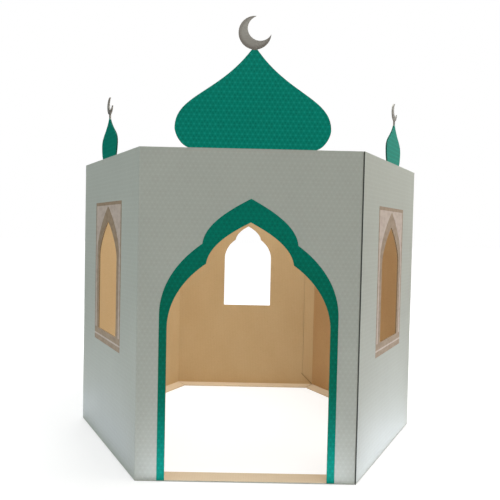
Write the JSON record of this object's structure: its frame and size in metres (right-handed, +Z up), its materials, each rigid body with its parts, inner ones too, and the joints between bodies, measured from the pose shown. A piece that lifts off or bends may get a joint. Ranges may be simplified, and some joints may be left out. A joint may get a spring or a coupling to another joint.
{
  "type": "cardboard play mosque",
  "caption": "Open-topped hexagonal play house of folded corrugated board, with a cusped arched doorway, pointed windows, a cut-out onion dome and crescent-tipped finials.",
  "frame": {"origin": "middle of the hexagonal footprint, on the floor", "axes": "+Z up, -Y out of the doorway, +X to the right seen from the front"},
  "size_m": [1.2403, 1.1302, 1.3324],
  "materials": {
    "kraft_board": "matte kraft",
    "grey_print": "satin print",
    "green_print": "satin print",
    "silver_print": "satin print",
    "window_print": "satin print"
  },
  "bodies": {
    "root": {"front_sheet": "kraft_board", "right_sheet": "kraft_board", "back_sheet": "kraft_board"}
  },
  "joints": []
}
